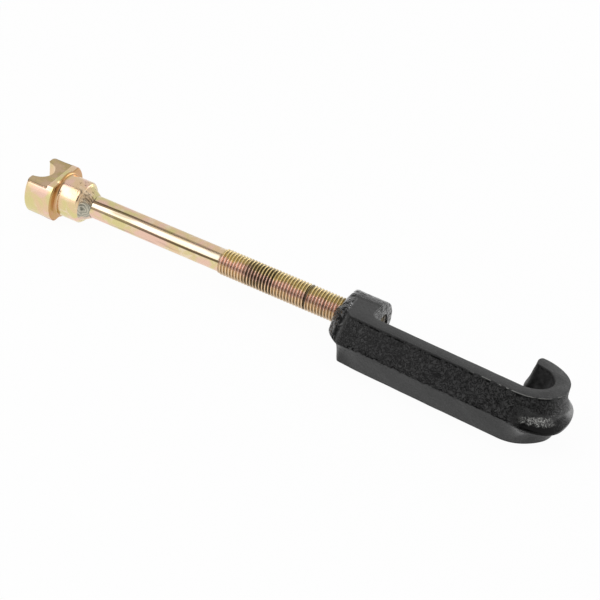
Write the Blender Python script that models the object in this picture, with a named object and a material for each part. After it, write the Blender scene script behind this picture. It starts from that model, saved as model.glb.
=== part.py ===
"""Ball joint separator: a forcing screw with a forked saddle head, in the boss of a J-shaped hook.

Metres, +Z up. The screw runs along X and the hook lies flat, with its parting plane level with the screw.
Pieces are drawn in a frame whose origin is where the screw enters the boss, and are then stood on z = 0.
"""

import math

import bmesh
import bpy
import numpy as np
from mathutils import Vector

MM = 0.001

# Saddle head, turned from bar: a wide head with wrench flats and a half-round notch, then a collar
HEAD_DIAMETER = 36.0 * MM
HEAD_LENGTH = 19.0 * MM
ACROSS_FLATS = 22.2 * MM
FLAT_LENGTH = 14.0 * MM
RIM_ACROSS_FLATS = 24.6 * MM
NOTCH_RADIUS = 9.0 * MM
COLLAR_DIAMETER = 25.8 * MM
COLLAR_LENGTH = 14.9 * MM
SOCKET_DEPTH = 11.0 * MM
HEAD_ROUND = 1.8 * MM
SHOULDER_ROUND = 1.0 * MM
COLLAR_CHAMFER = 1.2 * MM
ROOT_FILLET = 1.5 * MM
HEAD_TURN = math.radians(11.0)

# Screw rod: a plain shank and a stretch with a coarse right-hand thread
SHANK_DIAMETER = 14.0 * MM
THREAD_DIAMETER = 15.8 * MM
THREAD_PITCH = 2.0 * MM
THREAD_DEPTH = 1.2 * MM
THREADED_LENGTH = 101.1 * MM
SHANK_LENGTH = 94.7 * MM
RUN_OUT = 2.0 * MM
ROD_CHAMFER = 1.5 * MM
ROD_END_SETBACK = 2.0 * MM

# Weld bead that joins the rod to the collar
BEAD_LENGTH = 5.6 * MM
BEAD_CROWN = 0.2 * MM
BEAD_TOE = 0.8 * MM

# Hook, with drafted walls that stand out to a ridge at the parting plane
HOOK_THICKNESS = 29.7 * MM
BOSS_LENGTH = 24.8 * MM
BOSS_BACK = 1.5 * MM
BOSS_LEFT_ROUND = 9.7 * MM
BOSS_BACK_ROUND = 7.0 * MM
BOSS_RIGHT_ROUND = 3.0 * MM
BOSS_CORNER = 2.5 * MM
BOSS_FLAT_CORNER = 1.0 * MM
ARM_FILLET = 5.0 * MM
ARM_TILT = math.radians(3.2)
HEEL_WIDTH = 18.6 * MM
HEEL_LENGTH = 12.5 * MM
FACE_HEEL_LENGTH = 3.0 * MM
HEEL_BELLY = 1.5 * MM
CURL_REACH = 114.5 * MM
CURL_OFFSET = 9.1 * MM
CURL_RADIUS = 23.0 * MM
FACE_WIDTH = 9.0 * MM
OUTER_RIDGE = 6.6 * MM
ARM_RIDGE_EXTRA = 1.8 * MM
INNER_RIDGE = 6.2 * MM
LIP_HEEL = 4.7 * MM
LIP_FADE = 0.35
LIP_THICKNESS = 1.5 * MM
COVE_POWER = 3.5
UNDERCUT = 0.15
HEEL_HOLLOW = 0.6
TIP_ROUND = 5.5 * MM
FACE_TIP_ROUND = 1.2 * MM

# Clearances between pieces that touch on the real tool
SEAT_GAP = 0.3 * MM
BORE_CLEARANCE = 0.3 * MM

ROUND_STEPS = 64
THREAD_STEPS = 20
CUT_MARGIN = 5.0 * MM


# Helpers for meshes, materials and cuts


def material(name, colour, roughness, metallic):
    made = bpy.data.materials.new(name)
    made.use_nodes = True
    shader = made.node_tree.nodes["Principled BSDF"]
    shader.inputs["Base Color"].default_value = (*colour, 1.0)
    shader.inputs["Roughness"].default_value = roughness
    shader.inputs["Metallic"].default_value = metallic
    return made


def add_object(name, mesh_data, finish=None, parent=None):
    mesh = bpy.data.meshes.new(name)
    mesh_data.normal_update()
    mesh_data.to_mesh(mesh)
    mesh_data.free()
    mesh.shade_smooth()
    mesh.set_sharp_from_angle(angle=math.radians(35.0))
    obj = bpy.data.objects.new(name, mesh)
    bpy.context.collection.objects.link(obj)
    if finish:
        mesh.materials.append(finish)
    obj.parent = parent
    return obj


def turned(profile):
    """A solid of revolution about X from (x, radius) points that start and end on the axis."""
    made = bmesh.new()
    points = [made.verts.new((x, 0.0, radius)) for x, radius in profile]
    edges = [made.edges.new(pair) for pair in zip(points, points[1:])]
    bmesh.ops.spin(
        made,
        geom=points + edges,
        cent=(0.0, 0.0, 0.0),
        axis=(1.0, 0.0, 0.0),
        angle=2.0 * math.pi,
        steps=ROUND_STEPS,
        use_merge=True,
    )
    bmesh.ops.remove_doubles(made, verts=made.verts, dist=0.001 * MM)
    bmesh.ops.recalc_face_normals(made, faces=made.faces)
    return made


def cut(target, cutter):
    cutter.hide_render = True
    cutter.display_type = "WIRE"
    boolean = target.modifiers.new(cutter.name, "BOOLEAN")
    boolean.operation = "DIFFERENCE"
    boolean.solver = "EXACT"
    boolean.object = cutter


def block_between(name, low, high, parent):
    """A box cutter between two corners."""
    made = bmesh.new()
    bmesh.ops.create_cube(made, size=1.0)
    low, high = Vector(low), Vector(high)
    for vert in made.verts:
        vert.co = Vector(a + (b - a) * (c + 0.5) for a, b, c in zip(low, high, vert.co))
    return add_object(name, made, parent=parent)


for old in list(bpy.data.objects):
    bpy.data.objects.remove(old)

black_enamel = material("black_enamel", (0.012, 0.012, 0.013), 0.32, 0.0)
yellow_zinc = material("yellow_zinc", (0.72, 0.53, 0.27), 0.28, 1.0)
weld_grey = material("weld_grey", (0.42, 0.40, 0.37), 0.45, 1.0)

tool = bpy.data.objects.new("tool", None)
bpy.context.collection.objects.link(tool)
screw_axis = bpy.data.objects.new("screw_axis", None)
bpy.context.collection.objects.link(screw_axis)
screw_axis.parent = tool
screw_axis.rotation_euler.x = HEAD_TURN

# Stations along the screw, from the rod's inner end back to the saddle
rod_end = BOSS_LENGTH - ROD_END_SETBACK
thread_start = rod_end - THREADED_LENGTH
collar_end = thread_start - SHANK_LENGTH
socket_floor = collar_end - SOCKET_DEPTH
shoulder = collar_end - COLLAR_LENGTH
saddle_end = shoulder - HEAD_LENGTH
shank_radius = SHANK_DIAMETER / 2.0
thread_radius = THREAD_DIAMETER / 2.0
collar_radius = COLLAR_DIAMETER / 2.0
head_radius = HEAD_DIAMETER / 2.0


# Screw rod


# One pitch of the thread, as places along it and depths below the crest: a flat crest, then a groove
THREAD_FORM = ((0.0, 0.0), (0.3, 0.0), (0.65, 1.0))


def thread_rows():
    """Places along the screw, and radii, of rows that climb a pitch in each turn: crests run along rows."""
    start = thread_start - RUN_OUT
    turns = math.ceil((rod_end - start) / THREAD_PITCH) + 1
    place, depth = np.tile(np.array(THREAD_FORM).T, turns)
    pitches = np.repeat(np.arange(turns), len(THREAD_FORM)) + place - 1.0
    climb = np.arange(THREAD_STEPS) / THREAD_STEPS
    x = np.clip(start + (pitches[:, None] + climb) * THREAD_PITCH, start, rod_end)
    radius = (thread_radius - THREAD_DEPTH * depth)[:, None]
    radius = shank_radius + (radius - shank_radius) * np.minimum((x - start) / RUN_OUT, 1.0)
    return x, np.minimum(radius, thread_radius - ROD_CHAMFER + rod_end - x)


def rod_skin():
    """The shank's rings, then the climbing rows, whose last column meets the first a pitch further on."""
    seat = socket_floor + SEAT_GAP
    rings = [(seat, 0.0), (seat, shank_radius - ROD_CHAMFER), (seat + ROD_CHAMFER, shank_radius)]
    rows = [(np.full(THREAD_STEPS, x), np.full(THREAD_STEPS, radius)) for x, radius in rings]
    rows += zip(*thread_rows())
    rows.append((np.full(THREAD_STEPS, rod_end), np.zeros(THREAD_STEPS)))
    turn = np.linspace(0.0, 2.0 * math.pi, THREAD_STEPS, endpoint=False)
    made = bmesh.new()
    skin = [
        [made.verts.new(point) for point in zip(x, radius * np.cos(turn), radius * np.sin(turn))]
        for x, radius in rows
    ]
    for row, (near, far) in enumerate(zip(skin, skin[1:])):
        for i in range(THREAD_STEPS - 1):
            made.faces.new((near[i], near[i + 1], far[i + 1], far[i]))
        climb = len(THREAD_FORM) if row >= len(rings) else 0
        seam = [skin[min(row + climb + step, len(skin) - 1)][0] for step in (0, 1)]
        if seam[0] is not seam[1]:
            made.faces.new((near[-1], seam[0], seam[1], far[-1]))
    bmesh.ops.remove_doubles(made, verts=made.verts, dist=0.001 * MM)
    bmesh.ops.recalc_face_normals(made, faces=made.faces)
    return made


add_object("screw_rod", rod_skin(), yellow_zinc, screw_axis)


# Saddle head: turned blank with a blind socket for the rod, then milled flats and a cross notch


def quarter_round(x, y, radius, start, turn, steps=5):
    """(x, radius) points on a quarter circle about a centre, from a start angle in degrees."""
    angles = np.radians(np.linspace(start, start + turn, steps))
    return [(x + radius * math.cos(a), y + radius * math.sin(a)) for a in angles]


def head_profile():
    socket_radius = shank_radius + SEAT_GAP
    shoulder_ring = head_radius - SHOULDER_ROUND
    return [
        (saddle_end, 0.0),
        *quarter_round(saddle_end + HEAD_ROUND, head_radius - HEAD_ROUND, HEAD_ROUND, 180.0, -90.0),
        *quarter_round(shoulder - SHOULDER_ROUND, shoulder_ring, SHOULDER_ROUND, 90.0, -90.0),
        *quarter_round(shoulder + ROOT_FILLET, collar_radius + ROOT_FILLET, ROOT_FILLET, 180.0, 90.0),
        (collar_end - COLLAR_CHAMFER, collar_radius),
        (collar_end, collar_radius - COLLAR_CHAMFER),
        (collar_end, socket_radius),
        (socket_floor, socket_radius),
        (socket_floor, 0.0),
    ]


saddle_head = add_object("saddle_head", turned(head_profile()), yellow_zinc, screw_axis)

for side, name in ((1.0, "upper"), (-1.0, "lower")):
    for stop, across, step in (
        (saddle_end + FLAT_LENGTH, ACROSS_FLATS, "flat"),
        (shoulder, RIM_ACROSS_FLATS, "rim"),
    ):
        near, far = sorted((side * across / 2.0, side * head_radius * 2.0))
        low = (saddle_end - CUT_MARGIN, -head_radius - CUT_MARGIN, near)
        high = (stop, head_radius + CUT_MARGIN, far)
        cut(saddle_head, block_between(f"{name}_{step}_cutter", low, high, screw_axis))

notch = bmesh.new()
bmesh.ops.create_cone(
    notch,
    cap_ends=True,
    segments=ROUND_STEPS,
    radius1=NOTCH_RADIUS,
    radius2=NOTCH_RADIUS,
    depth=HEAD_DIAMETER + 2.0 * CUT_MARGIN,
)
bmesh.ops.translate(notch, verts=notch.verts, vec=(saddle_end, 0.0, 0.0))
cut(saddle_head, add_object("notch_cutter", notch, parent=screw_axis))


# Weld bead: a ring with a slightly crowned slope from the collar down to the shank


def bead_ring():
    inner = shank_radius + SEAT_GAP
    back = collar_end + SEAT_GAP
    front = back + BEAD_LENGTH
    top = collar_radius - COLLAR_CHAMFER
    toe = inner + BEAD_TOE
    along = np.linspace(0.0, 1.0, 7)
    slope = [
        (back + BEAD_LENGTH * a, top + (toe - top) * a + BEAD_CROWN * math.sin(math.pi * a))
        for a in along
    ]
    section = [(back, inner), *slope, (front, inner)]
    made = bmesh.new()
    points = [made.verts.new((x, 0.0, radius)) for x, radius in section]
    face = made.faces.new(points)
    bmesh.ops.spin(
        made,
        geom=[face, *face.edges, *face.verts],
        cent=(0.0, 0.0, 0.0),
        axis=(1.0, 0.0, 0.0),
        angle=2.0 * math.pi,
        steps=ROUND_STEPS,
        use_merge=True,
    )
    inside = [f for f in made.faces if len(f.verts) == len(section)]
    bmesh.ops.delete(made, geom=inside, context="FACES_ONLY")
    bmesh.ops.remove_doubles(made, verts=made.verts, dist=0.001 * MM)
    bmesh.ops.recalc_face_normals(made, faces=made.faces)
    return made


add_object("weld_bead", bead_ring(), weld_grey, screw_axis)


# Hook: a wall between two matched outlines, the ridge at the parting plane and the edge of the flat faces

half_thickness = HOOK_THICKNESS / 2.0
lip_share = LIP_THICKNESS / HOOK_THICKNESS
curl_centre = np.array([CURL_REACH, -CURL_OFFSET])
arm_normal = np.array([-math.sin(ARM_TILT), -math.cos(ARM_TILT)])
arm_along = np.array([-math.cos(ARM_TILT), math.sin(ARM_TILT)])
curl_start = -math.pi / 2.0 - ARM_TILT
curl_end = math.pi / 2.0
face_inner_radius = CURL_RADIUS - FACE_WIDTH
ridge_inner_radius = face_inner_radius - INNER_RIDGE
boss_face_left = BOSS_LEFT_ROUND
boss_face_right = BOSS_LENGTH - BOSS_RIGHT_ROUND


def line(start, end, count, belly=0.0):
    """Points from start up to, not including, end, bowed to the right of the way by belly."""
    t = np.arange(count)[:, None] / count
    start, end = np.asarray(start, float), np.asarray(end, float)
    way = (end - start) / np.linalg.norm(end - start)
    outward = np.array([way[1], -way[0]])
    return start + (end - start) * t + outward * belly * np.sin(math.pi * t)


def arc(centre, radii, start, end, count):
    """Points on an ellipse from one angle up to, not including, another; a radius may vary along it."""
    angle = start + (end - start) * np.arange(count) / count
    return np.stack(
        [centre[0] + radii[0] * np.cos(angle), centre[1] + radii[1] * np.sin(angle)], axis=1
    )


def eased(t):
    """0 below t = 0 and 1 above t = 1, with a smooth rise between."""
    t = np.clip(t, 0.0, 1.0)
    return t * t * (3.0 - 2.0 * t)


def lip_radius(angle):
    """The ridge's radius round the curl, with a heel that stands out in front and dies away to the tip."""
    heel = np.exp(-(((angle + math.radians(57.0)) / math.radians(33.0)) ** 2))
    fade = LIP_FADE * eased((angle + math.radians(20.0)) / math.radians(80.0))
    return CURL_RADIUS + OUTER_RIDGE * (1.0 - fade) + LIP_HEEL * heel


def on_arm(offset, x):
    """The point at x on the line that runs along the arm at an offset from the curl's centre."""
    start = curl_centre + offset * arm_normal
    return start + arm_along * (start[0] - x) / -arm_along[0]


back_ridge = BOSS_BACK + half_thickness
heel_top = -HEEL_WIDTH
face_heel_x = boss_face_left + FACE_HEEL_LENGTH
face_front_left = on_arm(CURL_RADIUS, face_heel_x)
ridge_front_left = on_arm(CURL_RADIUS + OUTER_RIDGE + ARM_RIDGE_EXTRA, HEEL_LENGTH)
curl_angles = curl_start + (curl_end - curl_start) * np.arange(40) / 40
ridge_curl_start = curl_centre + lip_radius(np.array(curl_start)) * arm_normal
face_curl_start = curl_centre + CURL_RADIUS * arm_normal
ridge_tip_outer = lip_radius(np.array(curl_end))
ridge_tip_half = (ridge_tip_outer - ridge_inner_radius) / 2.0
face_tip_half = FACE_WIDTH / 2.0
ridge_tip_centre = curl_centre + (0.0, ridge_inner_radius + ridge_tip_half)
face_tip_centre = curl_centre + (0.0, face_inner_radius + face_tip_half)
ridge_fillet_start = on_arm(ridge_inner_radius, BOSS_LENGTH + ARM_FILLET)
face_fillet_start = on_arm(face_inner_radius, boss_face_right + ARM_FILLET)
ridge_fillet_centre = ridge_fillet_start + (0.0, ARM_FILLET)
face_fillet_centre = face_fillet_start + (0.0, ARM_FILLET)


def stretches():
    """Ridge points, face points, and how far the wall is rounded, and hollowed above and below the ridge.

    One such set for each stretch, going round anticlockwise.
    """
    quarter = math.pi / 2.0
    yield (
        line((0.0, back_ridge - BOSS_CORNER), (0.0, heel_top), 8),
        line((BOSS_BACK_ROUND, BOSS_BACK - BOSS_FLAT_CORNER), (boss_face_left, heel_top), 8),
        np.ones(8),
        np.zeros(8),
        HEEL_HOLLOW * eased(np.arange(8) / 4.0 - 1.0),
    )
    yield (
        line((0.0, heel_top), ridge_front_left, 8, HEEL_BELLY),
        line((boss_face_left, heel_top), face_front_left, 8, HEEL_BELLY / 2.0),
        np.linspace(1.0, 0.0, 8, endpoint=False),
        np.zeros(8),
        np.full(8, HEEL_HOLLOW),
    )
    yield (
        line(ridge_front_left, ridge_curl_start, 14),
        line(face_front_left, face_curl_start, 14),
        np.zeros(14),
        np.zeros(14),
        HEEL_HOLLOW * eased(1.0 - np.arange(14) / 2.0),
    )
    rise = eased((curl_angles - curl_start) / math.radians(45.0))
    fall = eased((curl_end - curl_angles) / math.radians(60.0))
    lip = lip_radius(curl_angles)
    yield (
        arc(curl_centre, (lip, lip), curl_start, curl_end, 40),
        arc(curl_centre, (CURL_RADIUS, CURL_RADIUS), curl_start, curl_end, 40),
        np.zeros(40),
        np.minimum(rise, fall),
        np.minimum(rise, fall),
    )
    yield (
        arc(ridge_tip_centre, (TIP_ROUND, ridge_tip_half), quarter, 3.0 * quarter, 12),
        arc(face_tip_centre, (FACE_TIP_ROUND, face_tip_half), quarter, 3.0 * quarter, 12),
        np.zeros(12),
        np.zeros(12),
        np.zeros(12),
    )
    yield (
        arc(curl_centre, (ridge_inner_radius, ridge_inner_radius), curl_end, curl_start, 28),
        arc(curl_centre, (face_inner_radius, face_inner_radius), curl_end, curl_start, 28),
        np.zeros(28),
        np.zeros(28),
        np.zeros(28),
    )
    yield (
        line(curl_centre + ridge_inner_radius * arm_normal, ridge_fillet_start, 12),
        line(curl_centre + face_inner_radius * arm_normal, face_fillet_start, 12),
        np.zeros(12),
        np.zeros(12),
        np.zeros(12),
    )
    yield (
        arc(ridge_fillet_centre, (ARM_FILLET, ARM_FILLET), -quarter, -2.0 * quarter, 7),
        arc(face_fillet_centre, (ARM_FILLET, ARM_FILLET), -quarter, -2.0 * quarter, 7),
        np.linspace(0.0, 1.0, 7, endpoint=False),
        np.zeros(7),
        np.zeros(7),
    )
    right_corner = (BOSS_LENGTH - BOSS_CORNER, back_ridge - BOSS_CORNER)
    face_right_corner = (boss_face_right - BOSS_FLAT_CORNER, BOSS_BACK - BOSS_FLAT_CORNER)
    yield (
        line((BOSS_LENGTH, ridge_fillet_centre[1]), (BOSS_LENGTH, right_corner[1]), 6),
        line((boss_face_right, face_fillet_centre[1]), (boss_face_right, face_right_corner[1]), 6),
        np.ones(6),
        np.zeros(6),
        np.zeros(6),
    )
    yield (
        arc(right_corner, (BOSS_CORNER, BOSS_CORNER), 0.0, quarter, 6),
        arc(face_right_corner, (BOSS_FLAT_CORNER, BOSS_FLAT_CORNER), 0.0, quarter, 6),
        np.ones(6),
        np.zeros(6),
        np.zeros(6),
    )
    left_corner = (BOSS_CORNER, back_ridge - BOSS_CORNER)
    face_left_corner = (BOSS_BACK_ROUND + BOSS_FLAT_CORNER, BOSS_BACK - BOSS_FLAT_CORNER)
    yield (
        line((right_corner[0], back_ridge), (left_corner[0], back_ridge), 8),
        line((face_right_corner[0], BOSS_BACK), (face_left_corner[0], BOSS_BACK), 8),
        np.ones(8),
        np.zeros(8),
        np.zeros(8),
    )
    yield (
        arc(left_corner, (BOSS_CORNER, BOSS_CORNER), quarter, 2.0 * quarter, 6),
        arc(face_left_corner, (BOSS_FLAT_CORNER, BOSS_FLAT_CORNER), quarter, 2.0 * quarter, 6),
        np.ones(6),
        np.zeros(6),
        np.zeros(6),
    )


def wall_share(height, roundness, hollowness):
    """How far the wall has drawn in from the ridge at a height from 0 to 1: straight, round or coved."""
    straight = height
    rounded = 1.0 - math.sqrt(1.0 - height * height)
    above = max(0.0, (height - lip_share) / (1.0 - lip_share))
    coved = 1.0 - (1.0 - above) ** COVE_POWER
    plain = straight + (rounded - straight) * roundness
    return plain + (coved - plain) * hollowness


def hook_body():
    ridge, face, roundness, hollow_above, hollow_below = map(np.concatenate, zip(*stretches()))
    upper = np.sin(np.linspace(0.0, math.pi / 2.0, 7))[1:]
    heights = np.concatenate([-upper[::-1], [-lip_share, 0.0, lip_share], upper])
    made = bmesh.new()
    levels = []
    for height in heights:
        hollowness = hollow_above if height > 0.0 else hollow_below
        share = wall_share(abs(height), roundness, hollowness)
        if height < 0.0:
            share = share * (1.0 + UNDERCUT * hollowness)
        outline = ridge + (face - ridge) * share[:, None]
        z = height * half_thickness
        levels.append([made.verts.new((x, y, z)) for x, y in outline])
    count = len(ridge)
    for lower, upper in zip(levels, levels[1:]):
        for i in range(count):
            j = (i + 1) % count
            made.faces.new((lower[i], lower[j], upper[j], upper[i]))
    made.faces.new(levels[0][::-1])
    made.faces.new(levels[-1])
    bmesh.ops.recalc_face_normals(made, faces=made.faces)
    return made


hook = add_object("hook", hook_body(), black_enamel, tool)

bore = bmesh.new()
bmesh.ops.create_cone(
    bore,
    cap_ends=True,
    segments=ROUND_STEPS,
    radius1=thread_radius + BORE_CLEARANCE,
    radius2=thread_radius + BORE_CLEARANCE,
    depth=BOSS_LENGTH + 2.0 * CUT_MARGIN,
)
bore_cutter = add_object("bore_cutter", bore, parent=tool)
bore_cutter.rotation_euler.y = math.pi / 2.0
bore_cutter.location.x = BOSS_LENGTH / 2.0
cut(hook, bore_cutter)

# Stand the tool on z = 0, with the middle of its box over the origin

bpy.context.view_layer.update()
graph = bpy.context.evaluated_depsgraph_get()
corners = []
for piece in bpy.data.objects:
    if piece.type == "MESH" and not piece.hide_render:
        shape = piece.evaluated_get(graph)
        corners += [shape.matrix_world @ vert.co for vert in shape.data.vertices]
corners = np.array(corners)
low, high = corners.min(axis=0), corners.max(axis=0)
tool.location = (-(low[0] + high[0]) / 2.0, -(low[1] + high[1]) / 2.0, -low[2])
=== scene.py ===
import math

import bpy
import numpy as np
from mathutils import Matrix, Vector


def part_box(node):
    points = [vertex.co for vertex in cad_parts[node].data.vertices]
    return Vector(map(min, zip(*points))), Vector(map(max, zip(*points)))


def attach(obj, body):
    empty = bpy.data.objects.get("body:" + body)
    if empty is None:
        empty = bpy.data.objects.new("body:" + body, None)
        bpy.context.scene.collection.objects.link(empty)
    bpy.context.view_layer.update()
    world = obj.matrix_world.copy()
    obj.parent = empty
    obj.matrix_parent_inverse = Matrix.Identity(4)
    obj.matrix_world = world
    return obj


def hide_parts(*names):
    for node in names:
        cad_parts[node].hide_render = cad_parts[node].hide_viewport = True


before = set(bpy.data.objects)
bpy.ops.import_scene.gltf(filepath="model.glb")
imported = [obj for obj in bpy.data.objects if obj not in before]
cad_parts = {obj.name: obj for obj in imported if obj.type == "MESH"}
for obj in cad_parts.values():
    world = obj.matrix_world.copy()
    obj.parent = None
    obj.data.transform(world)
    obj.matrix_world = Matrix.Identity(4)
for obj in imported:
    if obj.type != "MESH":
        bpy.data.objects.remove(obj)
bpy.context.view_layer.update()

# Hook
# A J-shaped steel forging. Its walls lean out from two flat faces to the ridge where the dies met, which
# swells to a thin lip round the curl. The boss is drilled, and thick black enamel covers the coarse skin.

MM = 0.001
hook_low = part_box("hook")[0]
bead_low, bead_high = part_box("weld_bead")
axis_place = (bead_low + bead_high) / 2.0
entry = np.array([hook_low.x, axis_place.y, axis_place.z])  # where the screw enters the boss

# Lengths are in mm, counted from the entry: x along the screw, y to the back and z up
HALF_THICK = 14.85
BOSS_LENGTH = 24.8
BOSS_BACK = 16.35
BORE_RADIUS = 8.2
HEEL_FRONT = -18.6
FLAT_BACK = -3.0
FLAT_MARGIN = 3.0
FILLET = 5.0
CURL_CENTRE = np.array([114.5, -9.1])
CURL_RADIUS = 23.0
FACE_INSIDE = 14.0
RIDGE_INSIDE = 7.8
ARM_OVERHANG = 8.3
ARM_TILT = math.radians(3.2)
COVE_GROWS = 45.0  # degrees from the curl's start to where its wall is fully hollowed
COVE_FADES = 60.0  # degrees over which the hollow ends before the tip
COVE_POWER = 3.5
TIP_COVE = 0.35
HEEL_HOLLOW = 0.6
UNDERCUT = 0.15
BOSS_FULL = 2.2  # power of the boss's round wall, where 2 is an ellipse
END_FULL = 0.9  # more of it on the upper left end
LIP_HALF = 0.75
LIP_REACH = 6.4
LIP_LOSS = 0.35
LIP_HEELS = ((4.6, -57.0, 33.0), (1.7, -44.0, 20.0))  # extra reach, with its angle and spread in degrees
LOWER_FLANGE = 2.4
HEEL_FLANGE = 0.9
CURL_FLANGE = 1.1
FLANGE_FADES = 95.0
WORN_EDGE = 0.45

QUARTER = math.pi / 2.0
arm_out = np.array([-math.sin(ARM_TILT), -math.cos(ARM_TILT)])
arm_back = np.array([-math.cos(ARM_TILT), math.sin(ARM_TILT)])

# Points in each stretch of an outline: the boss's left end, heel, arm, curl, tip, curl's inside, arm's
# inside, fillet, the boss's right end, a corner, its back and a corner
COUNTS = [56, 36, 172, 140, 44, 84, 132, 16, 28, 8, 34, 8]
CURL, TIP = 3, 4
curl_from, curl_to = -QUARTER - ARM_TILT, QUARTER
curl = curl_from + (curl_to - curl_from) * np.arange(COUNTS[CURL]) / COUNTS[CURL]


def eased(value, low=0.0, high=1.0):
    """0 up to low, 1 from high on, and 3t^2 - 2t^3 between, where t is the share of the way."""
    t = np.clip((value - low) / (high - low), 0.0, 1.0)
    return t * t * (3.0 - 2.0 * t)


def straight(start, end, count, belly=0.0):
    """Points from start up to end, start + t (end - start), bowed outwards by belly sin(pi t)."""
    t = np.arange(count)[:, None] / count
    start, end = np.asarray(start, float), np.asarray(end, float)
    way = (end - start) / np.linalg.norm(end - start)
    return start + (end - start) * t + np.array([way[1], -way[0]]) * belly * np.sin(math.pi * t)


def bend(centre, radii, start, end, count):
    """Points on an ellipse, centre + (rx cos a, ry sin a), as a goes from start up to end."""
    a = start + (end - start) * np.arange(count) / count
    return np.stack([centre[0] + radii[0] * np.cos(a), centre[1] + radii[1] * np.sin(a)], axis=1)


def along_arm(offset, x):
    """The point at x on the arm's line that passes the curl's centre at an offset."""
    start = CURL_CENTRE + offset * arm_out
    return start + arm_back * (start[0] - x) / -arm_back[0]


def face_reach(angle):
    """The face edge's radius round the curl: the same at every angle."""
    return CURL_RADIUS + 0.0 * angle


def lip_reach(angle):
    """The ridge's radius round the curl: the face edge's, a reach that falls to the tip, and two heels."""
    degrees = np.degrees(angle)
    reach = LIP_REACH * (1.0 - LIP_LOSS * eased(degrees, -20.0, 60.0))
    for extra, place, spread in LIP_HEELS:
        reach = reach + extra * np.exp(-(((degrees - place) / spread) ** 2))
    return CURL_RADIUS + reach


def outline(left, heel_left, heel, belly, reach, inside, tip, right, back, corner):
    """A closed outline of twelve stretches, straight or bent, from the boss's left end to its back."""
    fillet = along_arm(inside, right + FILLET)
    half = (reach(curl_to) - inside) / 2.0
    shift, length, inset = tip
    tip_centre = CURL_CENTRE + (shift, inside + half)
    runs = [
        straight((left, back - corner), (heel_left, HEEL_FRONT), COUNTS[0]),
        straight((heel_left, HEEL_FRONT), heel, COUNTS[1], belly),
        straight(heel, CURL_CENTRE + reach(curl_from) * arm_out, COUNTS[2]),
        bend(CURL_CENTRE, (reach(curl), reach(curl)), curl_from, curl_to, COUNTS[3]),
        bend(tip_centre, (length, half - inset), QUARTER, 3.0 * QUARTER, COUNTS[4]),
        bend(CURL_CENTRE, (inside, inside), curl_to, curl_from, COUNTS[5]),
        straight(CURL_CENTRE + inside * arm_out, fillet, COUNTS[6]),
        bend(fillet + (0.0, FILLET), (FILLET, FILLET), -QUARTER, -2.0 * QUARTER, COUNTS[7]),
        straight((right, fillet[1] + FILLET), (right, back - corner), COUNTS[8]),
        bend((right - corner, back - corner), (corner, corner), 0.0, QUARTER, COUNTS[9]),
        straight((right - corner, back), (left + corner, back), COUNTS[10]),
        bend((left + corner, back - corner), (corner, corner), QUARTER, 2.0 * QUARTER, COUNTS[11]),
    ]
    return np.concatenate(runs)


def wall_form():
    """Eased shares along an outline: round at the boss, hollow round curl and heel, flanged on the arm."""
    stretch = np.repeat(np.arange(len(COUNTS)), COUNTS)
    part = np.concatenate([np.arange(n) / n for n in COUNTS])
    none = 0.0 * part
    into_curl = np.degrees(curl - curl_from)
    to_tip = np.degrees(curl_to - curl)
    roundness = np.choose(stretch, [1, 1 - part, 0, 0, 0, 0, 0, part, 1, 1, 1, 1])
    above = none.copy()
    above[stretch == CURL] = np.minimum(eased(into_curl, 0.0, COVE_GROWS), eased(to_tip, 0.0, COVE_FADES))
    above[stretch == TIP] = TIP_COVE * np.sin(math.pi * part[stretch == TIP])
    heel_hollow = [eased(2.0 * part - 1.0), 1.0 + none, eased(1.0 - 7.0 * part), none]
    below = above + HEEL_HOLLOW * np.choose(np.minimum(stretch, CURL), heel_hollow)
    on_arm = HEEL_FLANGE + (CURL_FLANGE - HEEL_FLANGE) * part
    flange = np.choose(np.minimum(stretch, TIP), [none, HEEL_FLANGE * eased(part), on_arm, none, none])
    flange[stretch == CURL] = CURL_FLANGE * (1.0 - eased(into_curl, 0.0, FLANGE_FADES))
    return roundness, above, below, flange


def softened(loop, reach=1.2):
    """A closed loop of values averaged with their neighbours by a Gaussian of that many steps."""
    turns = np.fft.fftfreq(len(loop)).reshape(-1, *[1] * (loop.ndim - 1))
    gaussian = np.exp(-2.0 * (math.pi * turns * reach) ** 2)
    return np.fft.ifft(np.fft.fft(loop, axis=0) * gaussian, axis=0).real


def grain(points, size, seed):
    """Smooth random values from -1 to 1: seeded numbers on a lattice of that size, eased between."""
    table = np.random.default_rng(seed).uniform(-1.0, 1.0, 4096)
    cell = np.floor(points / size).astype(np.int64)
    blend = eased(points / size - cell)
    total = np.zeros(points.shape[:-1])
    for corner in np.ndindex(2, 2, 2):
        at = cell + corner
        value = table[(at[..., 0] * 73856093 ^ at[..., 1] * 19349663 ^ at[..., 2] * 83492791) & 4095]
        total += value * np.prod(np.where(np.array(corner, bool), blend, 1.0 - blend), axis=-1)
    return total


def wall_share(ridge, height, roundness, above, below):
    """The way from ridge to face at a height: a straight lean, blended to a round at the boss or a cove."""
    up = np.abs(height)
    lip = LIP_HALF / HALF_THICK
    left_end = (1.0 - eased(ridge[:, 0], 1.0, 9.0)) * (1.0 - eased(ridge[:, 1], 6.0, 20.0))
    full = np.where(height > 0.0, BOSS_FULL + END_FULL * left_end, BOSS_FULL)
    rounded = 1.0 - np.maximum(0.0, 1.0 - up**full) ** (1.0 / full)
    coved = 1.0 - (1.0 - np.maximum(0.0, (up - lip) / (1.0 - lip))) ** COVE_POWER
    plain = up + (rounded - up) * roundness
    hollow = np.where(height > 0.0, above, below)
    share = plain + (coved - plain) * hollow
    return np.where(height < 0.0, share * (1.0 + UNDERCUT * hollow), share)


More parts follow.
